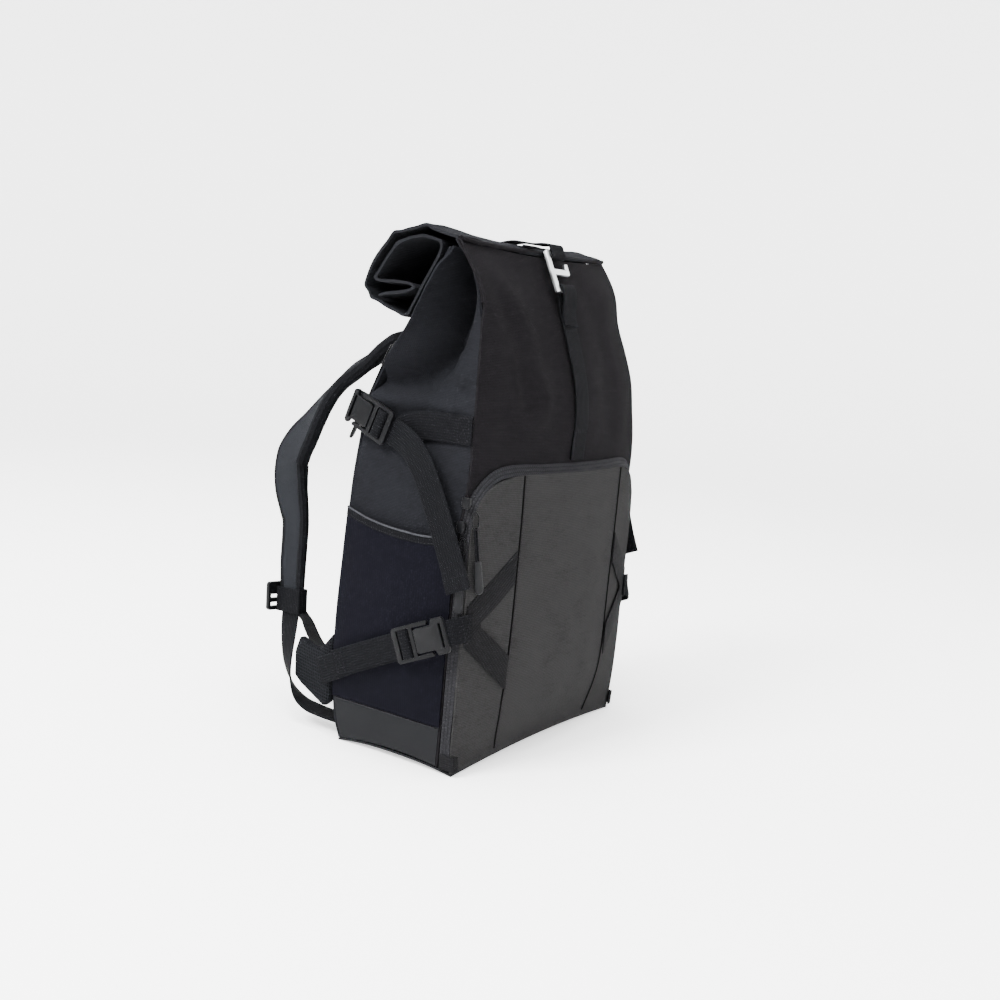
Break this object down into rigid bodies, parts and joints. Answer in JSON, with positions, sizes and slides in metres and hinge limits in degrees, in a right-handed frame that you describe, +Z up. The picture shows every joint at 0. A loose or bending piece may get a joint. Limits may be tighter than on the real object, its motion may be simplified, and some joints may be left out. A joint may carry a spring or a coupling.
{
  "type": "camera backpack",
  "caption": "Roll-top camera backpack with a zipped front pocket, stretch side pockets, buckled side straps, a metal closure hook, padded shoulder straps and hip wings, standing closed",
  "frame": {"origin": "on the floor under the middle of the base", "axes": "+Z up, -Y the front with the zipped pocket, +Y the side that lies against the back, +X the wearer's right when worn"},
  "size_m": [0.339, 0.2932, 0.4838],
  "materials": {
    "front_cloth": "matt woven nylon, near black",
    "side_cloth": "matt woven nylon, bluish charcoal",
    "pocket_cloth": "coarse matt weave, warm charcoal",
    "stretch_cloth": "fine stretch knit, dark navy",
    "coated_cloth": "smooth coated cloth, slate grey, slight sheen",
    "webbing": "ribbed webbing and tape, black",
    "mesh_cloth": "spacer mesh, dark grey",
    "buckle_plastic": "moulded, satin black",
    "pull_rubber": "moulded, matt black",
    "hook_metal": "bead blasted, satin silver"
  },
  "bodies": {
    "root": {"back_pad": "mesh_cloth", "back_panel": "side_cloth", "back_pull": "pull_rubber", "back_slider": "buckle_plastic", "bottom_panel": "coated_cloth", "closure_front_strap": "webbing", "closure_hook": "hook_metal", "closure_rear_strap": "webbing", "corner_tab_left": "coated_cloth", "corner_tab_right": "coated_cloth", "front_panel": "front_cloth", "hip_wing_left": "mesh_cloth", "hip_wing_right": "mesh_cloth", "lower_buckle_plug_left": "buckle_plastic", "lower_buckle_plug_right": "buckle_plastic", "lower_buckle_socket_left": "buckle_plastic", "lower_buckle_socket_right": "buckle_plastic", "lower_strap_anchor_left": "webbing", "lower_strap_anchor_right": "webbing", "lower_strap_left": "webbing", "lower_strap_right": "webbing", "lumbar_pad": "mesh_cloth", "pocket_centre": "pocket_cloth", "pocket_chevron_left": "webbing", "pocket_chevron_right": "webbing", "pocket_pull_lower": "pull_rubber", "pocket_pull_upper": "pull_rubber", "pocket_side_left": "pocket_cloth", "pocket_side_right": "pocket_cloth", "pocket_slider_lower": "buckle_plastic", "pocket_slider_upper": "buckle_plastic", "pocket_zip_band": "webbing", "roll_top": "front_cloth", "shoulder_pad_left": "front_cloth", "shoulder_pad_right": "front_cloth", "shoulder_webbing_left": "webbing", "shoulder_webbing_right": "webbing", "side_base_left": "coated_cloth", "side_base_right": "coated_cloth", "side_panel_left": "side_cloth", "side_panel_right": "side_cloth", "sternum_strap": "webbing", "strap_adjuster_left": "buckle_plastic", "strap_adjuster_right": "buckle_plastic", "strap_keeper_left": "webbing", "strap_keeper_right": "webbing", "stretch_binding_left": "webbing", "stretch_binding_right": "webbing", "stretch_pocket_left": "stretch_cloth", "stretch_pocket_right": "stretch_cloth", "upper_buckle_plug_left": "buckle_plastic", "upper_buckle_plug_right": "buckle_plastic", "upper_buckle_socket_left": "buckle_plastic", "upper_buckle_socket_right": "buckle_plastic", "upper_strap_anchor_left": "webbing", "upper_strap_anchor_right": "webbing", "upper_strap_left": "webbing", "upper_strap_right": "webbing"}
  },
  "joints": []
}
